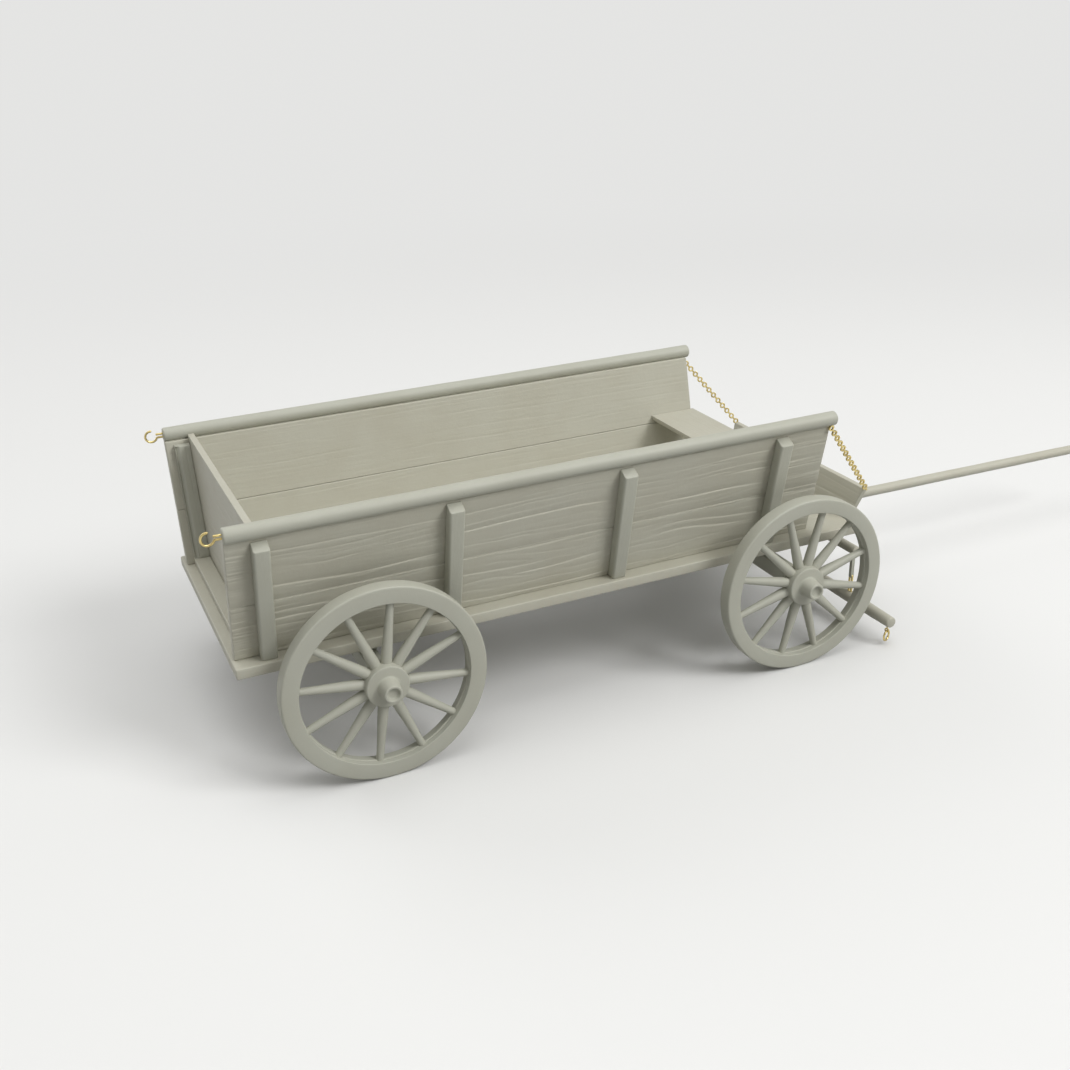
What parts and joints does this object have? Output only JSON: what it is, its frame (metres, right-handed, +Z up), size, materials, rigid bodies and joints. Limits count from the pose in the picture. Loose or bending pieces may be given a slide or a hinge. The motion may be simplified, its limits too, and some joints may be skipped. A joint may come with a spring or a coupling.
{
  "type": "farm wagon scale model",
  "caption": "Farm wagon model with flared plank sides, seat board, draught pole, swingletrees and a turning fore carriage; the spoked wheels spin and the front axle steers.",
  "frame": {"origin": "on the ground, in the middle of the model's overall length and width", "axes": "+X forward along the draught pole, +Y to the wagon's left, +Z up"},
  "size_m": [0.2093, 0.069, 0.0473],
  "materials": {
    "resin": "satin",
    "brass": "polished"
  },
  "bodies": {
    "wagon_body": {"floor_plate": "resin", "lower_plank_right": "resin", "lower_plank_left": "resin", "upper_plank_right": "resin", "upper_plank_left": "resin", "side_post_right_1": "resin", "side_post_right_2": "resin", "side_post_right_3": "resin", "side_post_right_4": "resin", "side_post_left_1": "resin", "side_post_left_2": "resin", "side_post_left_3": "resin", "side_post_left_4": "resin", "top_rail_right": "resin", "top_rail_left": "resin", "tailboard": "resin", "tail_sill": "resin", "tail_cleat_right": "resin", "tail_cleat_left": "resin", "seat_board": "resin", "toe_board": "resin", "rear_hook_right": "brass", "rear_hook_left": "brass", "stay_chain_right": "brass", "stay_chain_left": "brass", "rear_axle": "resin", "rear_bolster": "resin", "reach_pole": "resin", "front_bolster": "resin", "king_pin": "resin"},
    "fore_carriage": {"front_axle": "resin", "turntable": "resin", "hound_right": "resin", "hound_left": "resin", "draught_pole": "resin", "splinter_bar": "resin", "hanger_strap_right": "resin", "hanger_strap_left": "resin", "hanger_link_right": "brass", "hanger_link_left": "brass", "swingletree_right": "resin", "swingletree_left": "resin", "trace_ring_right_inner": "brass", "trace_ring_right_outer": "brass", "trace_ring_left_inner": "brass", "trace_ring_left_outer": "brass"},
    "rear_wheel_right": {"rear_wheel_right": "resin"},
    "rear_wheel_left": {"rear_wheel_left": "resin"},
    "front_wheel_right": {"front_wheel_right": "resin"},
    "front_wheel_left": {"front_wheel_left": "resin"}
  },
  "joints": [
    {"name": "steer", "type": "hinge", "parent": "wagon_body", "child": "fore_carriage", "pos_m": [0.00044, 0, 0.0184], "axis": [0, 0, 1], "range_deg": [-12, 12]},
    {"name": "rear_wheel_right_spin", "type": "hinge", "parent": "wagon_body", "child": "rear_wheel_right", "pos_m": [-0.07966, -0.029, 0.01725], "axis": [0, 1, 0], "continuous": true},
    {"name": "rear_wheel_left_spin", "type": "hinge", "parent": "wagon_body", "child": "rear_wheel_left", "pos_m": [-0.07966, 0.029, 0.01725], "axis": [0, 1, 0], "continuous": true},
    {"name": "front_wheel_right_spin", "type": "hinge", "parent": "fore_carriage", "child": "front_wheel_right", "pos_m": [0.00044, -0.03, 0.0168], "axis": [0, 1, 0], "continuous": true},
    {"name": "front_wheel_left_spin", "type": "hinge", "parent": "fore_carriage", "child": "front_wheel_left", "pos_m": [0.00044, 0.03, 0.0168], "axis": [0, 1, 0], "continuous": true}
  ]
}
